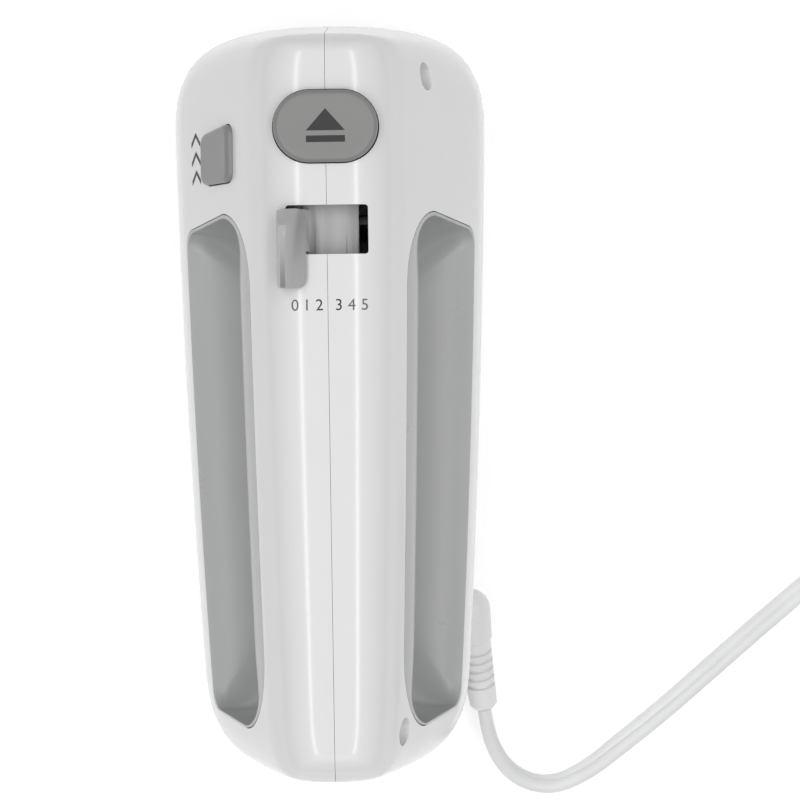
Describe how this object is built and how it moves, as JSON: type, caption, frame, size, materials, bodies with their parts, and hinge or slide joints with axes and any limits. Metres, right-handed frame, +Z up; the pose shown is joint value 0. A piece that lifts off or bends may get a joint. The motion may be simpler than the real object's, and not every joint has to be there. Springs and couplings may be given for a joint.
{
  "type": "hand mixer",
  "caption": "Upright electric hand mixer: looped grip with grey liners, eject button, speed lever, turbo button, worm-driven beater sockets, flat lead with a moulded plug.",
  "frame": {"origin": "middle of the flat underside, below the middle of the body", "axes": "+Z up from the underside to the crown, +Y to the nose, +X to the side the lead leaves from"},
  "size_m": [0.2787, 0.2607, 0.1371],
  "materials": {
    "housing": "satin",
    "liner": "satin",
    "eject_button": "satin",
    "speed_lever": "satin",
    "turbo_button": "satin",
    "inner_plastic": "satin",
    "wheel": "satin",
    "steel": "satin",
    "screws": "satin",
    "switch": "matte",
    "contacts": "satin",
    "board": "satin",
    "heat_sink": "satin",
    "capacitor": "satin",
    "laminations": "satin",
    "winding": "satin",
    "commutator": "satin",
    "frame": "satin",
    "bush": "satin",
    "carbon": "matte",
    "leads": "matte",
    "strain_relief": "matte",
    "cord": "matte",
    "tie": "matte",
    "plug": "matte",
    "plug_pins": "satin"
  },
  "bodies": {
    "housing": {"left_housing": "housing", "right_housing": "housing", "left_grip_liner": "liner", "right_grip_liner": "liner", "eject_guide": "inner_plastic", "eject_spring": "steel", "lever_pivot": "steel", "speed_switch": "switch", "switch_contacts": "contacts", "turbo_switch": "switch", "circuit_board": "board", "triac_heat_sink": "heat_sink", "capacitor": "capacitor", "stator_core": "laminations", "field_coils": "winding", "rear_motor_frame": "frame", "gearbox_frame": "frame", "motor_bolts": "screws", "rear_shaft_bush": "bush", "front_shaft_bush": "bush", "left_brush_holder": "contacts", "right_brush_holder": "contacts", "left_carbon_brush": "carbon", "right_carbon_brush": "carbon", "left_brush_spring": "steel", "right_brush_spring": "steel", "left_lower_bush": "bush", "right_lower_bush": "bush", "left_upper_bush": "bush", "right_upper_bush": "bush", "housing_screws": "screws", "supply_leads": "leads", "cord_clamp": "inner_plastic", "strain_relief": "strain_relief", "power_cord": "cord", "cord_coil": "cord", "cord_tail": "cord", "cord_tie": "tie", "plug_body": "plug", "plug_pins": "plug_pins"},
    "eject": {"eject_button": "eject_button", "eject_pusher": "inner_plastic"},
    "lever": {"speed_lever": "speed_lever"},
    "turbo": {"turbo_button": "turbo_button", "turbo_plunger": "inner_plastic"},
    "rotor": {"worm_shaft": "steel", "armature_core": "laminations", "armature_winding": "winding", "commutator": "commutator", "cooling_fan": "inner_plastic"},
    "right_spindle": {"right_worm_wheel": "wheel", "right_beater_spindle": "steel"},
    "left_spindle": {"left_worm_wheel": "wheel", "left_beater_spindle": "steel"}
  },
  "joints": [
    {"name": "eject_press", "type": "slide", "parent": "housing", "child": "eject", "axis": [0, 0, -1], "range_m": [0, 0.006], "stiffness_N_per_m": 600, "springref_m": -0.003, "deforming": ["eject_spring"]},
    {"name": "speed_turn", "type": "hinge", "parent": "housing", "child": "lever", "pos_m": [0, 0.0435, 0.10206], "axis": [0, 1, 0], "range_deg": [0, 36]},
    {"name": "turbo_press", "type": "slide", "parent": "housing", "child": "turbo", "axis": [1, 0, 0], "range_m": [0, 0.002], "stiffness_N_per_m": 800, "springref_m": -0.0015},
    {"name": "motor_spin", "type": "hinge", "parent": "housing", "child": "rotor", "pos_m": [0, 0, 0.04], "axis": [0, 1, 0], "continuous": true},
    {"name": "right_spindle_spin", "type": "hinge", "parent": "housing", "child": "right_spindle", "pos_m": [0.018, 0.07, 0], "axis": [0, 0, 1], "continuous": true},
    {"name": "left_spindle_spin", "type": "hinge", "parent": "housing", "child": "left_spindle", "pos_m": [-0.018, 0.07, 0], "axis": [0, 0, 1], "continuous": true}
  ],
  "couplings": [
    {"joint": "right_spindle_spin", "follows": "motor_spin", "ratio": 0.035714},
    {"joint": "left_spindle_spin", "follows": "motor_spin", "ratio": -0.035714}
  ]
}
